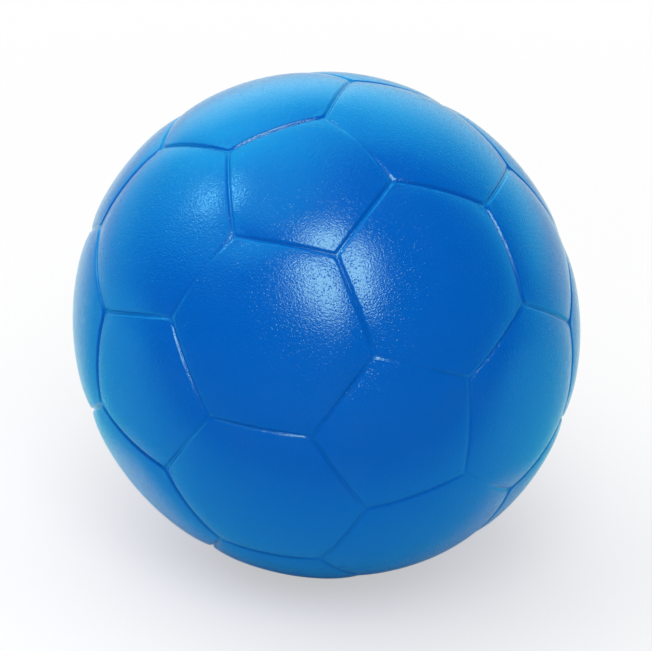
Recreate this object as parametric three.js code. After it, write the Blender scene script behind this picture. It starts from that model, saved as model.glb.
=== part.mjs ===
// A coated foam ball, moulded with the pattern of a football: 12 pentagons and 20 hexagons.
// It has three pieces. A soft foam core fills a tough coating, and the coating was laid in the
// two halves of the mould, so it is two half skins that meet in the grooves between the panels.
// Millimetres, +Z up, origin at the ball's centre. +X, +Y and +Z each pass through the middle
// of a groove between two hexagons.
import * as THREE from "three";

// Driving dimensions.
const BALL_DIAMETER = 200; // over the crowns of the panels
const SKIN_THICKNESS = 1; // of the coating, measured towards the centre
const BOND_CLEARANCE = 0.3; // between the coating and the foam under it
const ROLL_DROP = 0.95; // how far a panel falls from its flat middle to its rim
const ROLL_REACH = 16; // how far from the groove's bottom that fall starts
const GROOVE_DEPTH = 0.8; // below a panel's rim
const GROOVE_REACH = 1.6; // half the groove's width: how far from its bottom its wall starts

// The colours and finishes of the two materials.
const SKIN_COLOUR = 0x005dba;
const SKIN_ROUGHNESS = 0.42;
const FOAM_COLOUR = 0xe9e2cf;
const FOAM_ROUGHNESS = 0.95;

// How finely the panels are faceted.
const STEPS_ALONG_A_GROOVE = 3;
const SKIN_RINGS = [0, 0.25, 0.5, 0.75, 1]; // shares of GROOVE_REACH, from the groove inwards
const HIDDEN_RINGS = [0, 1]; // the same, where one piece covers another
const ROLL_RING = 0.45; // the next ring, as a share of ROLL_REACH
const LAST_RING = 0.5; // how far from that ring to the panel's middle the last ring lies

const BALL_RADIUS = BALL_DIAMETER / 2;
const SAME_POINT = 1e-6; // directions closer than this are the same

function isAmong(directions, one) {
  return directions.some((other) => other.distanceTo(one) < SAME_POINT);
}

// The twelve corners of a regular icosahedron, as directions: the middles of the pentagons.
function icosahedronCorners() {
  const position = new THREE.IcosahedronGeometry(1).getAttribute("position");
  const corners = [];
  for (let i = 0; i < position.count; i++) {
    const corner = new THREE.Vector3().fromBufferAttribute(position, i).normalize();
    if (!isAmong(corners, corner)) corners.push(corner);
  }
  return corners;
}

// A corner of the pattern lies a third of the way along an edge of the icosahedron.
function patternCorner(near, far) {
  return near.clone().lerp(far, 1 / 3).normalize();
}

// Puts the corners of one panel in order round its middle, anticlockwise seen from outside.
function inOrder(corners, middle) {
  const start = corners[0].clone().projectOnPlane(middle).normalize();
  const side = new THREE.Vector3().crossVectors(middle, start);
  const angle = (corner) => Math.atan2(corner.dot(side), corner.dot(start));
  return [...corners].sort((a, b) => angle(a) - angle(b));
}

// The angle, in radians, from a panel's middle to the middle of its sides.
function inradius(corners, middle) {
  return corners[0].clone().add(corners[1]).normalize().angleTo(middle);
}

// The 32 panels: each has its middle and its corners as directions, and its inradius in mm.
function makePanels() {
  const tips = icosahedronCorners();
  // The five tips that share an edge with a tip are the only others on its side of the ball.
  const neighbours = (tip) => tips.filter((other) => other !== tip && other.dot(tip) > 0);
  const panels = [];
  const add = (middle, unordered) => {
    const corners = inOrder(unordered, middle);
    panels.push({ middle, corners, inradius: inradius(corners, middle) * BALL_RADIUS });
  };
  for (const tip of tips) {
    add(tip, neighbours(tip).map((other) => patternCorner(tip, other)));
  }
  tips.forEach((a, i) => {
    for (const b of neighbours(a)) {
      for (const c of neighbours(b)) {
        if (tips.indexOf(b) < i || tips.indexOf(c) < tips.indexOf(b)) continue;
        if (!neighbours(a).includes(c)) continue;
        const middle = a.clone().add(b).add(c).normalize();
        const pairs = [[a, b], [b, a], [b, c], [c, b], [c, a], [a, c]];
        add(middle, pairs.map(([near, far]) => patternCorner(near, far)));
      }
    }
  });
  return panels;
}

// The ball's radius at a place, given how far the place is from the nearest groove. A panel
// rolls down more and more steeply, and a groove is rounded at its bottom and at its rims.
function radiusAt(fromGroove) {
  const alongRoll = 1 - Math.min(fromGroove / ROLL_REACH, 1);
  const alongWall = Math.min(fromGroove / GROOVE_REACH, 1);
  const groove = (GROOVE_DEPTH * (1 + Math.cos(Math.PI * alongWall))) / 2;
  return BALL_RADIUS - ROLL_DROP * alongRoll ** 3 - groove;
}

// Adds one quad, or the triangle that it becomes where two of its corners are one.
function addQuad(triangles, a, b, c, d) {
  triangles.push(a, b, c);
  if (!d.equals(a)) triangles.push(a, c, d);
}

// A point of a panel: a share of the way from a point of its side to its middle, sunk by depth.
function panelPoint(panel, onSide, share, depth) {
  const direction = onSide.clone().lerp(panel.middle, share).normalize();
  return direction.multiplyScalar(radiusAt(share * panel.inradius) - depth);
}

// The points that divide a side of a panel, as directions.
function pointsAlong(start, end) {
  return Array.from({ length: STEPS_ALONG_A_GROOVE + 1 }, (_, step) =>
    start.clone().lerp(end, step / STEPS_ALONG_A_GROOVE).normalize(),
  );
}

// The facets of one panel's surface, a depth below the ball's outside, facing out.
function panelFacets(panel, depth, rings) {
  const triangles = [];
  const distances = [...rings.map((ring) => ring * GROOVE_REACH), ROLL_RING * ROLL_REACH];
  const shares = distances.map((distance) => distance / panel.inradius);
  shares.push(shares.at(-1) + (1 - shares.at(-1)) * LAST_RING);
  const middle = panel.middle.clone().multiplyScalar(radiusAt(panel.inradius) - depth);
  panel.corners.forEach((corner, i) => {
    const side = pointsAlong(corner, panel.corners[(i + 1) % panel.corners.length]);
    for (let step = 0; step < STEPS_ALONG_A_GROOVE; step++) {
      const left = shares.map((share) => panelPoint(panel, side[step], share, depth));
      const right = shares.map((share) => panelPoint(panel, side[step + 1], share, depth));
      for (let ring = 0; ring + 1 < shares.length; ring++) {
        addQuad(triangles, left[ring], right[ring], right[ring + 1], left[ring + 1]);
      }
      triangles.push(left.at(-1), right.at(-1), middle);
    }
  });
  return triangles;
}

// The same facets facing in.
function facingIn(triangles) {
  const turned = [];
  for (let i = 0; i < triangles.length; i += 3) {
    turned.push(triangles[i], triangles[i + 2], triangles[i + 1]);
  }
  return turned;
}

// The edge of a half skin, where the panel's side has no panel of the same half beside it.
function edgeFacets(panel, half) {
  const triangles = [];
  panel.corners.forEach((corner, i) => {
    const next = panel.corners[(i + 1) % panel.corners.length];
    const shares = (other) => [corner, next].every((end) => isAmong(other.corners, end));
    if (half.some((other) => other !== panel && shares(other))) return;
    const outside = radiusAt(0);
    const side = pointsAlong(corner, next);
    const at = (direction, radius) => direction.clone().multiplyScalar(radius);
    for (let step = 0; step < STEPS_ALONG_A_GROOVE; step++) {
      addQuad(
        triangles,
        at(side[step], outside),
        at(side[step], outside - SKIN_THICKNESS),
        at(side[step + 1], outside - SKIN_THICKNESS),
        at(side[step + 1], outside),
      );
    }
  });
  return triangles;
}

function meshOf(name, triangles, material) {
  const geometry = new THREE.BufferGeometry().setFromPoints(triangles);
  geometry.computeVertexNormals();
  const mesh = new THREE.Mesh(geometry, material);
  mesh.name = name;
  return mesh;
}

// One half of the coating: the panels on one side of the mould's parting line.
function halfSkin(name, half, material) {
  const triangles = half.flatMap((panel) => [
    ...panelFacets(panel, 0, SKIN_RINGS),
    ...facingIn(panelFacets(panel, SKIN_THICKNESS, HIDDEN_RINGS)),
    ...edgeFacets(panel, half),
  ]);
  return meshOf(name, triangles, material);
}

// The moulded foam that fills the two half skins.
function foamCore(panels, material) {
  const depth = SKIN_THICKNESS + BOND_CLEARANCE;
  const triangles = panels.flatMap((panel) => panelFacets(panel, depth, HIDDEN_RINGS));
  return meshOf("foam_core", triangles, material);
}

const skinMaterial = new THREE.MeshStandardMaterial({
  color: SKIN_COLOUR,
  roughness: SKIN_ROUGHNESS,
  metalness: 0,
});
const foamMaterial = new THREE.MeshStandardMaterial({
  color: FOAM_COLOUR,
  roughness: FOAM_ROUGHNESS,
  metalness: 0,
});

const panels = makePanels();

// The mould opens along the axis of a pentagon, so that its parting line can follow the grooves
// all the way round. Each half has that pentagon, 5 hexagons, 5 more pentagons and 5 hexagons.
const upAndBack = new THREE.Vector3(0, 1, 2);
const nearest = (a, b) => (b.middle.dot(upAndBack) > a.middle.dot(upAndBack) ? b : a);
const mouldAxis = panels.reduce(nearest).middle;
const isUpper = (panel) => panel.middle.dot(mouldAxis) > 0;

const ball = new THREE.Group();
ball.name = "coated_foam_ball";
ball.add(foamCore(panels, foamMaterial));
ball.add(halfSkin("skin_upper_half", panels.filter(isUpper), skinMaterial));
ball.add(halfSkin("skin_lower_half", panels.filter((panel) => !isUpper(panel)), skinMaterial));

export default ball;
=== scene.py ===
# %% [markdown]
# # A coated foam ball
#
# The object is a soft play ball: a block of foam in a tough blue coating. The pattern of a
# football, 12 pentagons and 20 hexagons, is moulded into it as shallow rounded grooves.
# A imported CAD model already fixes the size, the place and the pieces. This script keeps that
# frame and gives each piece the fine shape and the finish of the real ball.

# %% Load the frame
import math
from itertools import combinations, product

import bmesh
import bpy
import numpy as np
from mathutils import Matrix, Vector, noise


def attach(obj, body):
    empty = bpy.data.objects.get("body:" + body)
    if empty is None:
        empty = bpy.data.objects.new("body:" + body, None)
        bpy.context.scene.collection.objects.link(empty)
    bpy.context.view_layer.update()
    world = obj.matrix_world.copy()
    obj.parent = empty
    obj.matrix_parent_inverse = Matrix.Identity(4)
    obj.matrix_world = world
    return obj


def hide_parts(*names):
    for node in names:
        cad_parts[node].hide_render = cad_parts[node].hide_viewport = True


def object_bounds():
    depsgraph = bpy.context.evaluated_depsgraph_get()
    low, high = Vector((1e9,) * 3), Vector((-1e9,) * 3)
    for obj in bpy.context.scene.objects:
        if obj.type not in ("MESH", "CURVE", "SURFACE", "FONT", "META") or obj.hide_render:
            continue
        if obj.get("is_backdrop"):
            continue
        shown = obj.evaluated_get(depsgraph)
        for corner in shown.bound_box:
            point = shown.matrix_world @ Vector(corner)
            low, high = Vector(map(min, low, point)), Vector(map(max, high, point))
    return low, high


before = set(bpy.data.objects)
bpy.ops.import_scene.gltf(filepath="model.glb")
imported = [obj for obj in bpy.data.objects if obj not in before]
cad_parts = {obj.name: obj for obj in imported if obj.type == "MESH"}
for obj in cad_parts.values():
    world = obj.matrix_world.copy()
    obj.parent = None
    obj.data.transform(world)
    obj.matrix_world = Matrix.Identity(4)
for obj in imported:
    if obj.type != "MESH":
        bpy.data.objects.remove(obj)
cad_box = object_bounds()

print("CAD nodes:", sorted(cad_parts))

# %% [markdown]
# ## Sizes
#
# The ball's radius over the crowns of its panels is the farthest point of the CAD skins, so it
# is measured there and not typed again. The other sizes are those that the ball was designed
# with, in metres. Only the groove is a little finer here than in the CAD model. It has rounded
# shoulders, a steep wall and a narrow flat bottom, as the edge of a mould leaves it. The real
# ball is soft, and it isn't quite round: it is flattened along one line and widened across it.

# %% Sizes of the ball
MM = 1000                   # in a metre, for what is printed
skin_nodes = [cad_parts[name] for name in ("skin_upper_half", "skin_lower_half")]
BALL_RADIUS = max(v.co.length for node in skin_nodes for v in node.data.vertices)
SKIN_THICKNESS = 0.001
BOND_CLEARANCE = 0.0003     # between the coating and the foam
ROLL_DROP = 0.00095         # how far a panel falls from its flat middle to its rim
ROLL_REACH = 0.016          # how far from the groove's bottom that fall starts
GROOVE_DEPTH = 0.0008       # below a panel's rim
GROOVE_REACH = 0.0015       # from the middle of the groove to the top of its wall
GROOVE_FLAT = 0.0003        # half the width of the groove's flat bottom
OUT_OF_ROUND = 0.013        # the soft ball is flattened by this share, and widened as much
print(f"ball radius {BALL_RADIUS * MM:.2f} mm, groove {2 * GROOVE_REACH * MM:.1f} mm wide")

# %% [markdown]
# ## Camera
#
# The picture was taken from far off with a long lens, so the ball shows almost no perspective.
# The camera stands 2 m away, to the right of the front and well above the middle, and is turned
# a little about its own axis. These angles come from fitting the pattern's corners to the
# corners in the picture. The focal length follows from the ball's size in the picture.

# %% Camera at the picture's angle
PICTURE_WIDTH, PICTURE_HEIGHT = 652, 651
BALL_RADIUS_PX = 253.9       # over the crowns of the panels
BALL_CENTRE_PX = (326.5, 324.9)
CAMERA_AZIMUTH = math.radians(13.7)
CAMERA_ELEVATION = math.radians(25.3)
CAMERA_ROLL = math.radians(3.8)
CAMERA_DISTANCE = 2.0
SENSOR_WIDTH = 36.0          # millimetres
CLIP_START, CLIP_END = 0.1, 50.0


def direction(azimuth, elevation):
    """The direction that lies at these angles; azimuth 0 is towards -Y and 90 degrees is +X."""
    return Vector((
        math.sin(azimuth) * math.cos(elevation),
        -math.cos(azimuth) * math.cos(elevation),
        math.sin(elevation),
    ))


TO_CAMERA = direction(CAMERA_AZIMUTH, CAMERA_ELEVATION)
level_right = Vector((0, 0, 1)).cross(TO_CAMERA).normalized()
level_up = TO_CAMERA.cross(level_right)
PICTURE_RIGHT = level_right * math.cos(CAMERA_ROLL) + level_up * math.sin(CAMERA_ROLL)
PICTURE_UP = level_up * math.cos(CAMERA_ROLL) - level_right * math.sin(CAMERA_ROLL)


def picture_normal(x, y):
    """The ball's surface direction at a pixel of the picture, with perspective left out."""
    right = (x - BALL_CENTRE_PX[0]) / BALL_RADIUS_PX
    up = (BALL_CENTRE_PX[1] - y) / BALL_RADIUS_PX
    front = math.sqrt(1 - right**2 - up**2)
    return PICTURE_RIGHT * right + PICTURE_UP * up + TO_CAMERA * front


camera_data = bpy.data.cameras.new("camera")
camera = bpy.data.objects.new("camera", camera_data)
bpy.context.scene.collection.objects.link(camera)
camera.matrix_world = Matrix.Translation(TO_CAMERA * CAMERA_DISTANCE) @ Matrix(
    (PICTURE_RIGHT, PICTURE_UP, TO_CAMERA)
).transposed().to_4x4()
ball_tangent = BALL_RADIUS / math.sqrt(CAMERA_DISTANCE**2 - BALL_RADIUS**2)
focal_px = BALL_RADIUS_PX / ball_tangent
camera_data.sensor_width = SENSOR_WIDTH
camera_data.lens = focal_px * SENSOR_WIDTH / PICTURE_WIDTH
camera_data.shift_x = (PICTURE_WIDTH / 2 - BALL_CENTRE_PX[0]) / PICTURE_WIDTH
camera_data.shift_y = (BALL_CENTRE_PX[1] - PICTURE_HEIGHT / 2) / PICTURE_WIDTH
camera_data.clip_start, camera_data.clip_end = CLIP_START, CLIP_END
bpy.context.scene.camera = camera
bpy.context.scene.view_settings.view_transform = "Standard"
print(f"lens {camera_data.lens:.0f} mm at {CAMERA_DISTANCE} m")

# %% [markdown]
# ## The pattern
#
# The pattern is a truncated icosahedron blown up to a sphere. Its parts are directions from the
# ball's centre: 12 tips of an icosahedron are the middles of the pentagons, every three
# neighbouring tips have a hexagon between them, and a corner of the pattern lies a third of the
# way along an edge. Working it out like this keeps it exact, and needs no list of points.

# %% The 32 panels and 90 grooves
GOLDEN = (1 + math.sqrt(5)) / 2
DECIMALS = 6                 # to which two panels agree on the groove between them


def unit(vectors):
    """The same vectors at length 1."""
    vectors = np.asarray(vectors, float)
    return vectors / np.linalg.norm(vectors, axis=-1, keepdims=True)


def icosahedron_tips():
    """The 12 tips of an icosahedron, as directions."""
    tips = []
    for a, b in product((1, -1), (GOLDEN, -GOLDEN)):
        tips += [(0, a, b), (a, b, 0), (b, 0, a)]
    return unit(tips)


def in_order(corners, middle):
    """The corners of a panel, anticlockwise round its middle."""
    start = corners[0] - middle * (corners[0] @ middle)
    side = np.cross(middle, start)
    return corners[np.argsort(np.arctan2(corners @ side, corners @ start))]


def make_panels():
    """Each panel as its middle and its corners in order."""
    tips = icosahedron_tips()
    near = tips @ tips.T > 0
    np.fill_diagonal(near, False)
    panels = []
    for tip, is_near in zip(tips, near):
        panels.append((tip, in_order(unit(2 * tip + tips[is_near]), tip)))
    for a, b, c in combinations(range(len(tips)), 3):
        if near[a, b] and near[b, c] and near[c, a]:
            middle = unit(tips[a] + tips[b] + tips[c])
            pairs = [(a, b), (b, a), (b, c), (c, b), (c, a), (a, c)]
            corners = unit([2 * tips[i] + tips[j] for i, j in pairs])
            panels.append((middle, in_order(corners, middle)))
    return panels


def make_grooves(panels):
    """Each groove between two panels, once, as its two ends."""
    ends = {}
    for _, corners in panels:
        for start, end in zip(corners, np.roll(corners, -1, axis=0)):
            key = tuple(np.round(start + end, DECIMALS))
            ends.setdefault(key, (start, end))
    return np.array(list(ends.values()))


PANELS = make_panels()
GROOVES = make_grooves(PANELS)
print(len(PANELS), "panels and", len(GROOVES), "grooves")

# %% [markdown]
# ## How far from a groove
#
# The skin's height follows from how far a place is from the grooves. A plain nearest distance
# would leave a hard mitre where two grooves meet, but a moulded panel has round corners. So the
# distances to all grooves are joined by a soft minimum, which is smooth everywhere.

# %% Soft distance to the grooves
GROOVE_SOFTNESS = 0.0005     # how round the corners are where two grooves meet
ROLL_SOFTNESS = 0.003        # the same for the roll of a panel, which is a much broader form


def groove_distances(places):
    """The distance in metres from each place to each groove, over the sphere."""
    starts, ends = GROOVES[:, 0], GROOVES[:, 1]
    normals = unit(np.cross(starts, ends))
    across = np.abs(np.arcsin(np.clip(places @ normals.T, -1, 1)))
    past_start = places @ np.cross(normals, starts).T < 0
    past_end = places @ np.cross(ends, normals).T < 0
    to_start = np.arccos(np.clip(places @ starts.T, -1, 1))
    to_end = np.arccos(np.clip(places @ ends.T, -1, 1))
    beyond = np.where(past_start, to_start, to_end)
    return np.where(past_start | past_end, beyond, across) * BALL_RADIUS


def soft_minimum(distances, softness):
    """A smooth stand-in for the smallest distance in each row, never above it."""
    least = distances.min(axis=1, keepdims=True)
    total = np.exp((least - distances) / softness).sum(axis=1)
    return least[:, 0] - softness * np.log(total)


panel_middles = np.array([middle for middle, _ in PANELS])
half_widths = groove_distances(panel_middles).min(axis=1) * MM
print(f"from a panel's middle to its groove: {half_widths.min():.1f} to {half_widths.max():.1f} mm")

# %% [markdown]
# ## What is particular to this ball
#
# The foam doesn't fill every edge of the mould alike. So the depth wanders a little along each
# groove, which a smooth noise gives. In some places the skin bridged the mould's edge, so that
# the groove is shallow there or fades out altogether. At two corners the panel rolls down more
# steeply, and its shoulder catches a lamp. These places are given as pixels of the picture,
# because that is where they were seen, and each fades out softly round its pixel.

# %% Shallow grooves and steep corners
DEPTH_WANDER = 0.25          # share by which the depth wanders
WANDER_LENGTH = 0.025        # how far apart deep and shallow stretches are
# Where a groove is shallow: a pixel of the picture, the distance over the skin in metres at which
# this has faded to about a third, and the share of the depth that is lost.
SHALLOW_PX = {
    "upper pentagon, upper right side": ((358, 150), 0.015, 0.95),
    "upper pentagon, left side": ((231, 195), 0.018, 0.35),
    "between the hexagons left of the middle": ((207, 269), 0.022, 1.0),
    "left pentagon, lower side": ((195, 430), 0.012, 0.45),
    "lower right pentagon, top side": ((402, 363), 0.013, 0.9),
    "lower right pentagon, all round": ((430, 450), 0.045, 0.55),
    "right of the lower right pentagon": ((480, 478), 0.012, 0.8),
}
# Where a panel rolls down more steeply: a pixel, the distance, and the share that is added.
STEEP_PX = {
    "lower right pentagon, top corner": ((357, 380), 0.012, 2.0),
    "middle hexagon, upper left corner": ((248, 247), 0.009, 1.6),
}


def closeness(places, pixel, reach):
    """1 at a pixel of the picture, and fading away from it, to about a third at the reach."""
    cosine = np.clip(places @ np.array(picture_normal(*pixel)), -1, 1)
    away = np.arccos(cosine) * BALL_RADIUS / reach
    return np.exp(-(away**2))


def fullness(places):
    """The share of its usual depth that a groove, with the roll beside it, has near each place."""
    scale = BALL_RADIUS / WANDER_LENGTH
    wander = [noise.noise(Vector(place) * scale) for place in places]
    left = 1 + DEPTH_WANDER * np.array(wander)
    for pixel, reach, loss in SHALLOW_PX.values():
        left *= 1 - loss * closeness(places, pixel, reach)
    return left


def steepness(places):
    """How many times its usual drop a panel rolls down near each place."""
    added = [share * closeness(places, pixel, reach) for pixel, reach, share in STEEP_PX.values()]
    return 1 + sum(added)


print("shallow places:", "; ".join(SHALLOW_PX))
print("steep corners:", "; ".join(STEEP_PX))

# %% [markdown]
# ## The height of the skin
#
# A panel is flat in its middle, as flat as a sphere can be. Near its rim it rolls down, slowly at
# first and then faster, which a cubic gives. Then the narrow groove cuts in: from its flat bottom
# a wall rises steeply and rounds over into the rim, which a square gives.

# %% Height of the skin over the sphere
AT_A_TIME = 20000            # places worked out at a time, to spare memory


def skin_radius(places):
    """How far the skin's outside is from the centre in each direction, while the ball is round."""
    radius = np.empty(len(places))
    for start in range(0, len(places), AT_A_TIME):
        some = places[start:start + AT_A_TIME]
        distances = groove_distances(some)
        to_wall = np.maximum(soft_minimum(distances, GROOVE_SOFTNESS), 0)
        to_roll = np.maximum(soft_minimum(distances, ROLL_SOFTNESS), 0)
        up_wall = np.clip((to_wall - GROOVE_FLAT) / (GROOVE_REACH - GROOVE_FLAT), 0, 1)
        wall = GROOVE_DEPTH * (1 - up_wall) ** 2
        roll = ROLL_DROP * np.clip(1 - to_roll / ROLL_REACH, 0, 1) ** 3
        depth = (roll * steepness(some) + wall) * fullness(some)
        radius[start:start + AT_A_TIME] = BALL_RADIUS - depth
    return radius


groove_depths = (BALL_RADIUS - skin_radius(unit(GROOVES.sum(axis=1)))) * MM
print(f"grooves lie {groove_depths.min():.2f} to {groove_depths.max():.2f} mm below the crowns")

# %% [markdown]
# ## Meshing a panel
#
# A mesh shows a groove well when its edges run along the groove. So each panel is meshed in
# rings, like the rings of a tree: close together beside the groove, where the skin bends most,
# and wide apart towards the middle. Neighbouring panels share the points of the groove between
# them, so the skin has no crack.

# %% Rings of points over a panel
WIDEST_RING = 0.09           # of the way from groove to middle


def ring_shares(half_width, distances):
    """How far towards a panel's middle each ring lies, for rings at these distances in metres."""
    near = [d / half_width for d in distances]
    count = math.ceil((1 - near[-1]) / WIDEST_RING)
    return near + list(np.linspace(near[-1], 1, count + 1)[1:-1])


def panel_lattice(panel, steps, distances):
    """The points of a panel as directions, ring by ring from the groove, then its middle."""
    middle, corners = panel
    side_middle = unit(corners[0] + corners[1])
    half_width = math.acos(side_middle @ middle) * BALL_RADIUS
    along = np.linspace(0, 1, steps, endpoint=False)[:, None]
    nexts = np.roll(corners, -1, axis=0)
    rim = np.vstack([unit(a * (1 - along) + b * along) for a, b in zip(corners, nexts)])
    rings = [unit(rim * (1 - s) + middle * s) for s in ring_shares(half_width, distances)]
    return np.vstack([*rings, middle[None]]), len(rim)


def ring_faces(point_count, ring_length, first):
    """Quads between neighbouring rings and a fan round the middle, facing out."""
    faces = []
    rings = (point_count - 1) // ring_length
    for ring in range(rings):
        for i in range(ring_length):
            j = (i + 1) % ring_length
            here = first + ring * ring_length
            inner = here + ring_length
            if ring + 1 < rings:
                faces.append((here + i, here + j, inner + j, inner + i))
            else:
                faces.append((here + i, here + j, first + point_count - 1))
    return faces


def panels_surface(panels, steps, distances):
    """The points and faces of several panels, each with its own points."""
    points, faces, total = [], [], 0
    for panel in panels:
        lattice, ring_length = panel_lattice(panel, steps, distances)
        faces += ring_faces(len(lattice), ring_length, total)
        points.append(lattice)
        total += len(lattice)
    return np.vstack(points), faces


trial_points, trial_rim = panel_lattice(PANELS[0], 4, [0, 0.002])
print("a coarse pentagon:", trial_rim, "points in a ring and", len(trial_points), "in all")

# %% [markdown]
# ## The two half skins
#
# The coating is laid in the two halves of the mould and knits where they close. No line crosses
# a panel, so the parting line follows the grooves, round the axis of one pentagon. Each half is
# a real shell: an outside, an inside one coating's thickness below it, and an edge between them.
#
# The mesh is made straight from its points and faces. Where two panels meet, their points fall
# together and are welded. Blender's bridge tool then closes the shell along the zigzag.

# %% Make a mesh, and close a shell
# The ball is flattened along the picture's diagonal, from the lower left to the upper right.
FLAT_AXIS = np.array(PICTURE_RIGHT + PICTURE_UP) / math.sqrt(2)
WELD = 1e-6                  # points closer than this are one


def squashed(points):
    """The points of a round ball, moved as the soft ball gives."""
    flat = (points @ FLAT_AXIS)[:, None] * FLAT_AXIS
    return points * (1 + OUT_OF_ROUND) - 2 * OUT_OF_ROUND * flat


def mesh_object(name, points, faces):
    """A smooth mesh object, squashed as the ball is, with coinciding points welded."""
    points = squashed(points)
    mesh = bpy.data.meshes.new(name)
    mesh.from_pydata(points.tolist(), [], faces)
    shape = bmesh.new()
    shape.from_mesh(mesh)
    bmesh.ops.remove_doubles(shape, verts=shape.verts, dist=WELD)
    shape.to_mesh(mesh)
    shape.free()
    mesh.polygons.foreach_set("use_smooth", [True] * len(mesh.polygons))
    piece = bpy.data.objects.new(name, mesh)
    bpy.context.scene.collection.objects.link(piece)
    return piece


def close_edges(piece):
    """Joins the open rim of the outside to the open rim of the inside."""
    shape = bmesh.new()
    shape.from_mesh(piece.data)
    open_edges = [edge for edge in shape.edges if edge.is_boundary]
    result = bmesh.ops.bridge_loops(shape, edges=open_edges)
    for face in result["faces"]:
        face.smooth = False
    bmesh.ops.recalc_face_normals(shape, faces=shape.faces)
    left_open = sum(edge.is_boundary for edge in shape.edges)
    shape.to_mesh(piece.data)
    shape.free()
    return left_open


print("the ball is flattened by", round(2 * BALL_RADIUS * OUT_OF_ROUND * MM, 1), "mm across")

# %% Build the two half skins
SKIN_STEPS = 22              # points along one side of a panel
# How far from the middle of the groove the rings lie, the outside's and the inside's.
SKIN_RINGS = [0, 0.00015, 0.0003, 0.00045, 0.0006, 0.0008, 0.001, 0.0012, 0.0014, 0.0016,
              0.0019, 0.0024, 0.0032, 0.0044, 0.006, 0.008]
HIDDEN_RINGS = [0, 0.0008, 0.0016]
UP_AND_BACK = unit([0, 1, 2])
MOULD_AXIS = max((middle for middle, _ in PANELS), key=lambda middle: middle @ UP_AND_BACK)


def half_skin(name, panels):
    """One half of the coating as a closed shell."""
    outside, outer_faces = panels_surface(panels, SKIN_STEPS, SKIN_RINGS)
    inside, inner_faces = panels_surface(panels, SKIN_STEPS, HIDDEN_RINGS)
    outer = outside * skin_radius(outside)[:, None]
    inner = inside * (skin_radius(inside) - SKIN_THICKNESS)[:, None]
    turned = [tuple(len(outer) + i for i in reversed(face)) for face in inner_faces]
    piece = mesh_object(name, np.vstack([outer, inner]), outer_faces + turned)
    left_open = close_edges(piece)
    print(f"{name}: {len(panels)} panels, {len(piece.data.polygons)} faces, open {left_open}")
    return piece


upper = half_skin("skin_upper", [p for p in PANELS if p[0] @ MOULD_AXIS > 0])
lower = half_skin("skin_lower", [p for p in PANELS if p[0] @ MOULD_AXIS < 0])

# %% [markdown]
# ## The foam core
#
# The core is one moulded block of soft foam. It fills the skin, so it has the same grooves, just
# under the coating. Nothing of it shows in the picture, but it is there when the ball is opened.

# %% Build the foam core
# The core has fewer points than the skin, because the skin hides it.
CORE_STEPS = 10
CORE_RINGS = [0, 0.0008, 0.002, 0.004, 0.0065]

core_places, core_faces = panels_surface(PANELS, CORE_STEPS, CORE_RINGS)
core_radius = skin_radius(core_places) - SKIN_THICKNESS - BOND_CLEARANCE
core = mesh_object("foam_block", core_places * core_radius[:, None], core_faces)
print("foam_block:", len(core.data.polygons), "faces")

# %% [markdown]
# ## The finish of the coating
#
# The coating is a tinted elastomer with a satin gloss. Its grain is a fine leather-like pebble
# that breaks the reflection of a lamp into glints. The grain is finer than the mesh, so it is
# bump: pits a little under a millimetre apart, of all depths, over a fine unevenness. The blue
# and the gloss change a little from place to place, as on a ball that has been handled.
#
# The blue in the picture is deeper than a screen can show, so it has no red at all, even where
# white light is mirrored over it. A screen blue keeps the red of what it mirrors, which would
# look grey beside it. A cool tint on the gloss takes that red out again.

# %% Helpers for materials
def new_material(name):
    """A material with its node tree, cleared, its shader and a way to add linked nodes."""
    material = bpy.data.materials.new(name)
    material.use_nodes = True
    tree = material.node_tree
    tree.nodes.clear()
    output = tree.nodes.new("ShaderNodeOutputMaterial")
    shader = tree.nodes.new("ShaderNodeBsdfPrincipled")
    tree.links.new(shader.outputs["BSDF"], output.inputs["Surface"])
    return material, tree, shader


def add_node(tree, kind, settings=None, **inputs):
    """A node with settings, whose inputs are numbers or the outputs of other nodes."""
    node = tree.nodes.new(kind)
    for key, value in (settings or {}).items():
        setattr(node, key, value)
    for key, value in inputs.items():
        socket = node.inputs[key.replace("_", " ")]
        if isinstance(value, bpy.types.NodeSocket):
            tree.links.new(value, socket)
        else:
            socket.default_value = value
    return node


FIRST_COLOUR, SECOND_COLOUR, MIXED_COLOUR = 6, 7, 2      # the Mix node's sockets for colours


def mixed_colour(tree, share, first, second):
    """The first colour, turning into the second as the share goes from 0 to 1."""
    mix = add_node(tree, "ShaderNodeMix", {"data_type": "RGBA"}, Factor=share)
    mix.inputs[FIRST_COLOUR].default_value = first
    mix.inputs[SECOND_COLOUR].default_value = second
    return mix.outputs[MIXED_COLOUR]


print("materials from the CAD model:", sorted(m.name for m in bpy.data.materials))

# %% Coating material
SKIN_BLUE = (0.0, 0.107, 0.485, 1.0)
SKIN_BLUE_DEEP = (0.0, 0.098, 0.46, 1.0)
SHEEN_TINT = (0.45, 0.95, 1.0, 1.0)      # takes the red out of what the gloss mirrors
COATING_IOR = 1.5            # index of refraction, that of a clear plastic
COATING_GLOSS = 1.0          # mirrors twice as much as the IOR alone would give
CLOUD_SCALE = 14.0           # clouds of deeper and paler blue to the metre
CLOUD_DETAIL = 3.0
GLOSS_CLOUD_SCALE = 60.0     # and of smoother and rougher skin
GLOSS_CLOUD_DETAIL = 4.0
SMOOTHEST, ROUGHEST = 0.08, 0.2
PIT_SPACING = 0.0008
PIT_REACH = 0.5              # how far a pit reaches, as a share of the spacing
PIT_DEPTH = 0.0001
PEEL_SIZE = 0.0008           # of the fine unevenness
PEEL_DETAIL = 2.0
PEEL_HEIGHT = 0.00012


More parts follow.
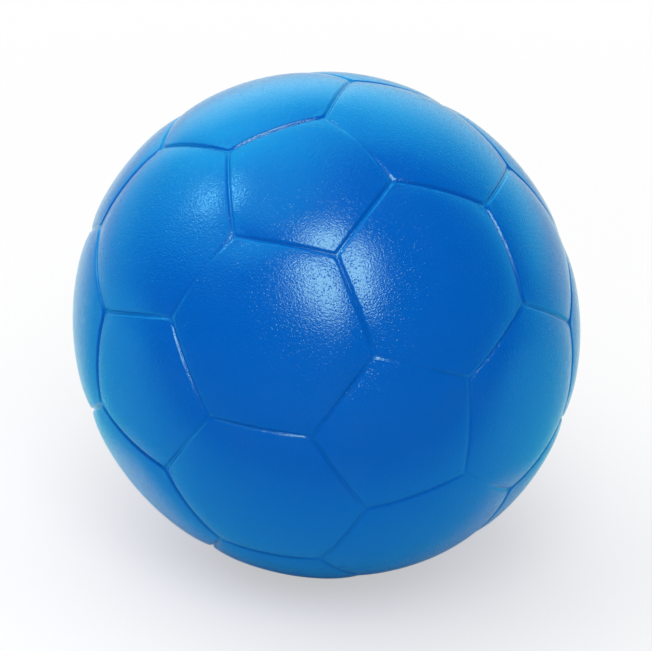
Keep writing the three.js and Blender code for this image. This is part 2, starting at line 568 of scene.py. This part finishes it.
def coating_material():
    """Tinted elastomer with a fine pebbled grain."""
    material, tree, shader = new_material("blue_coating")
    place = tree.nodes.new("ShaderNodeTexCoord").outputs["Object"]
    clouds = add_node(tree, "ShaderNodeTexNoise", Vector=place, Scale=CLOUD_SCALE,
                      Detail=CLOUD_DETAIL)
    blue = mixed_colour(tree, clouds.outputs["Fac"], SKIN_BLUE_DEEP, SKIN_BLUE)
    tree.links.new(blue, shader.inputs["Base Color"])
    patchy = add_node(tree, "ShaderNodeTexNoise", Vector=place, Scale=GLOSS_CLOUD_SCALE,
                      Detail=GLOSS_CLOUD_DETAIL)
    gloss = add_node(tree, "ShaderNodeMapRange", Value=patchy.outputs["Fac"],
                     To_Min=SMOOTHEST, To_Max=ROUGHEST)
    tree.links.new(gloss.outputs["Result"], shader.inputs["Roughness"])
    peel = add_node(tree, "ShaderNodeTexNoise", Vector=place, Scale=1 / PEEL_SIZE,
                    Detail=PEEL_DETAIL)
    peel_bump = add_node(tree, "ShaderNodeBump", Height=peel.outputs["Fac"],
                         Distance=PEEL_HEIGHT, Strength=1.0)
    cells = add_node(tree, "ShaderNodeTexVoronoi", Vector=place, Scale=1 / PIT_SPACING)
    pit = add_node(tree, "ShaderNodeMapRange", {"interpolation_type": "SMOOTHSTEP"},
                   Value=cells.outputs["Distance"], From_Max=PIT_REACH, To_Min=-1.0, To_Max=0.0)
    depth = add_node(tree, "ShaderNodeMath", {"operation": "MULTIPLY"})
    tree.links.new(pit.outputs["Result"], depth.inputs[0])
    tree.links.new(cells.outputs["Color"], depth.inputs[1])
    pit_bump = add_node(tree, "ShaderNodeBump", Height=depth.outputs[0], Distance=PIT_DEPTH,
                        Strength=1.0, Normal=peel_bump.outputs["Normal"])
    tree.links.new(pit_bump.outputs["Normal"], shader.inputs["Normal"])
    shader.inputs["IOR"].default_value = COATING_IOR
    shader.inputs["Specular IOR Level"].default_value = COATING_GLOSS
    shader.inputs["Specular Tint"].default_value = SHEEN_TINT
    return material


coating = coating_material()
for piece in (upper, lower):
    piece.data.materials.append(coating)
print("coating:", len(coating.node_tree.nodes), "nodes, pits", PIT_SPACING * MM, "mm apart")

# %% [markdown]
# ## The finish of the foam
#
# Moulded foam is cream and dead matt, full of small open cells with thin walls. The distance to
# the edge of a Voronoi cell gives both: it sinks the hollow of each cell and paints shade into it.

# %% Foam material
FOAM_CREAM = (0.82, 0.76, 0.62, 1.0)
# A darker cream in the hollow of each cell: painted shade.
FOAM_HOLLOW_PAINTED_SHADE = (0.62, 0.54, 0.4, 1.0)
FOAM_ROUGHNESS = 0.95
CELL_SIZE = 0.0014
CELL_DEPTH = 0.0004
CELL_WALL = 0.25             # thickness of a wall, as a share of a cell


def foam_material():
    """Open-celled soft foam."""
    material, tree, shader = new_material("cream_foam")
    place = tree.nodes.new("ShaderNodeTexCoord").outputs["Object"]
    cells = add_node(tree, "ShaderNodeTexVoronoi", {"feature": "DISTANCE_TO_EDGE"},
                     Vector=place, Scale=1 / CELL_SIZE)
    wall = add_node(tree, "ShaderNodeMapRange", Value=cells.outputs["Distance"],
                    From_Max=CELL_WALL)
    # The sunken hollows get the darker cream, which is painted shade; the walls keep the foam's
    # cream.
    colour = mixed_colour(tree, wall.outputs["Result"], FOAM_CREAM, FOAM_HOLLOW_PAINTED_SHADE)
    tree.links.new(colour, shader.inputs["Base Color"])
    bump = add_node(tree, "ShaderNodeBump", {"invert": True}, Height=wall.outputs["Result"],
                    Distance=CELL_DEPTH, Strength=1.0)
    tree.links.new(bump.outputs["Normal"], shader.inputs["Normal"])
    shader.inputs["Roughness"].default_value = FOAM_ROUGHNESS
    return material


core.data.materials.append(foam_material())
print("foam: cells of", CELL_SIZE * MM, "mm")

# %% [markdown]
# ## Seating the pieces in the frame
#
# Nothing on the ball moves, so every piece rides on the one body. Each piece replaces the CAD
# solid that it refines. The foam fills the skin tight, and it is what gives the ball its softness.

# %% Ride and replace
for piece, node, slot in ((upper, "skin_upper_half", "skin"), (lower, "skin_lower_half", "skin"),
                          (core, "foam_core", "foam")):
    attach(piece, "root")
    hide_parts(node)
    print(piece.name, "stands for", node, "and has the finish of the slot", slot)

# %% [markdown]
# ## The surroundings
#
# The picture has a pure white ground. The world is white to the camera, but lights the ball at a
# plain level. What the gloss mirrors matters more than the light itself. The ball stands on a
# white sweep, which it mirrors at its rims, and the ceiling is lit in two patches. The room on
# the camera's side is dark, which keeps the middle of the ball a deep blue.
#
# The gloss sees the sweep in a cool white, for the same reason as its own tint: the picture's
# blue has no red to show. Straight behind the ball the sweep is whiter, because the rim mirrors
# so much of it there that some red does show.

# %% Helpers for the surroundings
def mixed(tree, share, first, second):
    """Mixes two shaders and gives back the result."""
    mix = tree.nodes.new("ShaderNodeMixShader")
    for socket, value in zip(mix.inputs, (share, first, second)):
        tree.links.new(value, socket)
    return mix.outputs[0]


def picture_direction(right, up, out):
    """A direction given by how far it points right, up and out of the picture."""
    return (PICTURE_RIGHT * right + PICTURE_UP * up + TO_CAMERA * out).normalized()


def along(tree, vector, line):
    """How far a vector reaches along a line; for two directions, the cosine between them."""
    node = add_node(tree, "ShaderNodeVectorMath", {"operation": "DOT_PRODUCT"})
    tree.links.new(vector, node.inputs[0])
    node.inputs[1].default_value = line
    return node.outputs["Value"]


def soft_step(tree, value, start, end, low=0.0, high=1.0):
    """Goes smoothly from low to high while the value goes from start to end."""
    step = add_node(tree, "ShaderNodeMapRange", {"interpolation_type": "SMOOTHSTEP"}, Value=value,
                    From_Min=start, From_Max=end, To_Min=low, To_Max=high)
    return step.outputs["Result"]


print("up in the picture is", [round(part, 2) for part in picture_direction(0, 1, 0)])

# %% World
WHITE = (1.0, 1.0, 1.0, 1.0)
AMBIENT = 0.5                # plain light from all sides
SWEEP = 1.55                 # brightness of the white sweep
SWEEP_START, SWEEP_FULL = -0.25, 0.9     # cosines from straight behind the ball
# The lit patches of the ceiling: where they lie (right, up and out of the picture), the cosines
# at which they start and are full, and their brightness.
CEILING = [((-0.12, 0.92, -0.38), 0.75, 0.93, 0.75), ((-0.52, 0.83, 0.2), 0.75, 0.93, 1.0)]
SWEEP_COOL = (0.08, 0.95, 1.0, 1.0)
SWEEP_BEHIND = (0.55, 0.97, 1.0, 1.0)
BEHIND_START, BEHIND_FULL = 0.45, 1.0    # cosines between which the sweep turns whiter


def mirrored_room(tree):
    """The surroundings as the gloss sees them."""
    towards = tree.nodes.new("ShaderNodeTexCoord").outputs["Generated"]
    behind = along(tree, towards, -TO_CAMERA)
    brightness = soft_step(tree, behind, SWEEP_START, SWEEP_FULL, 0.0, SWEEP)
    for place, start, full, level in CEILING:
        near = along(tree, towards, picture_direction(*place))
        total = add_node(tree, "ShaderNodeMath", {"operation": "ADD"})
        tree.links.new(brightness, total.inputs[0])
        tree.links.new(soft_step(tree, near, start, full, 0.0, level), total.inputs[1])
        brightness = total.outputs[0]
    whiter = soft_step(tree, behind, BEHIND_START, BEHIND_FULL)
    tint = mixed_colour(tree, whiter, SWEEP_COOL, SWEEP_BEHIND)
    room = add_node(tree, "ShaderNodeBackground", Color=tint, Strength=brightness)
    return room.outputs[0]


def studio_world():
    """White to the camera, plain light for the ball, and the room in its gloss."""
    world = bpy.data.worlds.new("studio")
    world.use_nodes = True
    tree = world.node_tree
    tree.nodes.clear()
    output = tree.nodes.new("ShaderNodeOutputWorld")
    ray = tree.nodes.new("ShaderNodeLightPath").outputs
    plain = add_node(tree, "ShaderNodeBackground", Color=WHITE, Strength=AMBIENT).outputs[0]
    white = add_node(tree, "ShaderNodeBackground", Color=WHITE, Strength=1.0).outputs[0]
    lit = mixed(tree, ray["Is Glossy Ray"], plain, mirrored_room(tree))
    lit = mixed(tree, ray["Is Camera Ray"], lit, white)
    tree.links.new(lit, output.inputs["Surface"])
    return world


bpy.context.scene.world = studio_world()
print("world:", len(bpy.context.scene.world.node_tree.nodes), "nodes")

# %% [markdown]
# ## The floor
#
# The floor is plain white and lies at the CAD model's lowest point, so that the soft ball presses
# into it by a third of a millimetre. Near the ball half of what the camera sees is floor lit by
# the lamps, so the ball's shadow shows, and farther off it goes over into the plain white of the
# world. What the gloss mirrors of the floor is painted: a painted reflection, white behind and
# right under the ball, cool to the sides, and painted nearly black on the camera's side.

# %% Helpers for the floor
FLOOR_PAINT = (0.85, 0.85, 0.85, 1.0)
WHITE_NEAR, WHITE_FAR = 0.1, 0.7         # distances between which the floor turns plain white
WHITE_SHARE = 0.5                        # plain white in the floor beside the ball
# Tints that only the gloss sees on the floor, for a painted reflection:
FLOOR_COOL = (0.1, 0.8, 0.85, 1.0)
FLOOR_BEHIND = (0.75, 0.95, 0.95, 1.0)
FLOOR_BESIDE = (0.6, 0.95, 0.95, 1.0)
# Nearly black, painted on the floor on the camera's side for the gloss only: a painted dark
# reflection.
FLOOR_PAINTED_DARK_REFLECTION = (0.005, 0.03, 0.04, 1.0)
TOWARDS_CAMERA = (TO_CAMERA.x, TO_CAMERA.y, 0)
# Where the floor's painted reflection goes over into each tint: from nothing to fully between two
# values.
BEHIND_STEP = (0.4, 0.9)                 # cosines from straight behind the ball
BESIDE_STEP = (0.15, 0.1)                # metres from the point under the ball
COOL_STEP = (0.01, 0.045)                # about metres, towards the camera
PAINTED_DARK_STEP = (0.02, 0.2)                  # the same


def distance_from_ball(tree, place):
    """How far a place of the floor is from the point under the ball."""
    node = add_node(tree, "ShaderNodeVectorMath", {"operation": "LENGTH"})
    tree.links.new(place, node.inputs[0])
    return node.outputs["Value"]


def direction_from_ball(tree, place, height):
    """The direction in which the ball's centre sees a place of the floor, at this height."""
    seen = add_node(tree, "ShaderNodeVectorMath", {"operation": "ADD"})
    tree.links.new(place, seen.inputs[0])
    seen.inputs[1].default_value = (0, 0, height)
    node = add_node(tree, "ShaderNodeVectorMath", {"operation": "NORMALIZE"})
    tree.links.new(seen.outputs["Vector"], node.inputs[0])
    return node.outputs["Vector"]


def painted_floor_reflection(tree, place, height):
    """The floor as the gloss sees it: a painted reflection, its paint swapped for tints by place.
    """
    behind = along(tree, direction_from_ball(tree, place, height), -TO_CAMERA)
    beside = distance_from_ball(tree, place)
    in_front = along(tree, place, TOWARDS_CAMERA)
    seen = add_node(tree, "ShaderNodeBsdfDiffuse", Color=FLOOR_COOL).outputs[0]
    # Each tint is painted over the last, ending with the painted dark reflection on the camera's
    # side.
    for where, step, tint in ((behind, BEHIND_STEP, FLOOR_BEHIND),
                              (beside, BESIDE_STEP, FLOOR_BESIDE),
                              (in_front, COOL_STEP, FLOOR_COOL),
                              (in_front, PAINTED_DARK_STEP, FLOOR_PAINTED_DARK_REFLECTION)):
        paint = add_node(tree, "ShaderNodeBsdfDiffuse", Color=tint).outputs[0]
        seen = mixed(tree, soft_step(tree, where, *step), seen, paint)
    return seen


print("floor at", round(cad_box[0].z * MM, 2), "mm")

# %% Floor
FLOOR_SIZE = 8.0


def white_floor(height):
    """A square floor at this height."""
    half = FLOOR_SIZE / 2
    corners = [(-half, -half, 0), (half, -half, 0), (half, half, 0), (-half, half, 0)]
    mesh = bpy.data.meshes.new("floor")
    mesh.from_pydata(corners, [], [(0, 1, 2, 3)])
    material, tree, shader = new_material("floor_white")
    # Fully matt: rough, and with nothing mirrored.
    shader.inputs["Base Color"].default_value = FLOOR_PAINT
    shader.inputs["Roughness"].default_value = 1.0
    shader.inputs["Specular IOR Level"].default_value = 0.0
    place = tree.nodes.new("ShaderNodeTexCoord").outputs["Object"]
    ray = tree.nodes.new("ShaderNodeLightPath").outputs
    share = soft_step(tree, distance_from_ball(tree, place), WHITE_NEAR, WHITE_FAR,
                      WHITE_SHARE, 1.0)
    to_camera = add_node(tree, "ShaderNodeMath", {"operation": "MULTIPLY"})
    tree.links.new(share, to_camera.inputs[0])
    tree.links.new(ray["Is Camera Ray"], to_camera.inputs[1])
    white = add_node(tree, "ShaderNodeEmission", Color=WHITE, Strength=1.0).outputs[0]
    # The gloss sees the floor's painted reflection in place of its lit paint.
    painted_reflection = painted_floor_reflection(tree, place, height)
    seen = mixed(tree, ray["Is Glossy Ray"], shader.outputs["BSDF"], painted_reflection)
    seen = mixed(tree, to_camera.outputs[0], seen, white)
    tree.links.new(seen, tree.nodes["Material Output"].inputs["Surface"])
    mesh.materials.append(material)
    floor = bpy.data.objects.new("floor", mesh)
    floor.location.z = height
    bpy.context.scene.collection.objects.link(floor)
    return floor


floor = white_floor(cad_box[0].z)
floor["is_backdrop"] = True
print("floor:", FLOOR_SIZE, "m wide")

# %% [markdown]
# ## The lamps
#
# A large soft box over the camera is the key lamp, and a larger one hangs overhead. A lamp shows
# in the gloss where the surface mirrors it to the camera, so the key lamp's direction comes from
# the place of the highlight in the picture.
#
# The highlight is a neutral white, but the gloss is tinted cool. So the key lamp is made of two,
# in almost the same place: one only lights the coating, and the other is only mirrored, and is
# warm enough to come out white. A small lamp that is only mirrored gives the sparkle at the left.

# %% Soft boxes
HIGHLIGHT_PX = (334, 276)    # the middle of the large highlight
SPARKLE_PX = (219, 202)      # the middle of the sparkle at the left
GLINT_WARM = (1.0, 0.82, 0.58)
SPARKLE_COOL = (0.55, 0.95, 1.0)
OVERHEAD = (-0.3, 0.88, 0.38)            # right, up and out of the picture


def mirrored_from(x, y):
    """The direction that a pixel of the ball mirrors to the camera."""
    normal = picture_normal(x, y)
    return (normal * 2 * normal.dot(TO_CAMERA) - TO_CAMERA).normalized()


def soft_box(name, towards, distance, width, height, brightness):
    """A lamp that faces the ball; the brightness is that of its surface, 1 being white."""
    data = bpy.data.lights.new(name, "AREA")
    data.shape = "ELLIPSE"
    data.size, data.size_y = width, height
    area = math.pi * width * height / 4
    data.energy = brightness * math.pi * area
    lamp = bpy.data.objects.new(name, data)
    lamp.location = towards * distance
    lamp.rotation_mode = "QUATERNION"
    lamp.rotation_quaternion = towards.to_track_quat("Z", "Y")
    lamp.visible_camera = False
    bpy.context.scene.collection.objects.link(lamp)
    print(f"{name}: {data.energy:.0f} W")
    return lamp


key = soft_box("key_box", mirrored_from(*HIGHLIGHT_PX), distance=3.0, width=1.5, height=2.0,
               brightness=5.15)
glint = soft_box("key_glint", mirrored_from(*HIGHLIGHT_PX), distance=2.9, width=1.45,
                 height=1.9, brightness=6.4)
sparkle = soft_box("side_glint", mirrored_from(*SPARKLE_PX), distance=2.9, width=0.4,
                   height=0.75, brightness=8.0)
overhead = soft_box("top_box", picture_direction(*OVERHEAD), distance=2.4, width=3.6,
                    height=3.6, brightness=1.28)
key.visible_glossy = overhead.visible_glossy = False
glint.visible_diffuse = sparkle.visible_diffuse = False
glint.data.color = GLINT_WARM
sparkle.data.color = SPARKLE_COOL

# %% [markdown]
# ## Sizes, and the end
#
# The finer shape may stand out of the CAD model's box by very little. So both boxes are measured
# and printed side by side.

# %% Sizes, then finish
seen_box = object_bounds()
for name, corners in (("CAD", cad_box), ("visual", seen_box)):
    print(name, "box mm", [round((b - a) * MM, 2) for a, b in zip(*corners)])
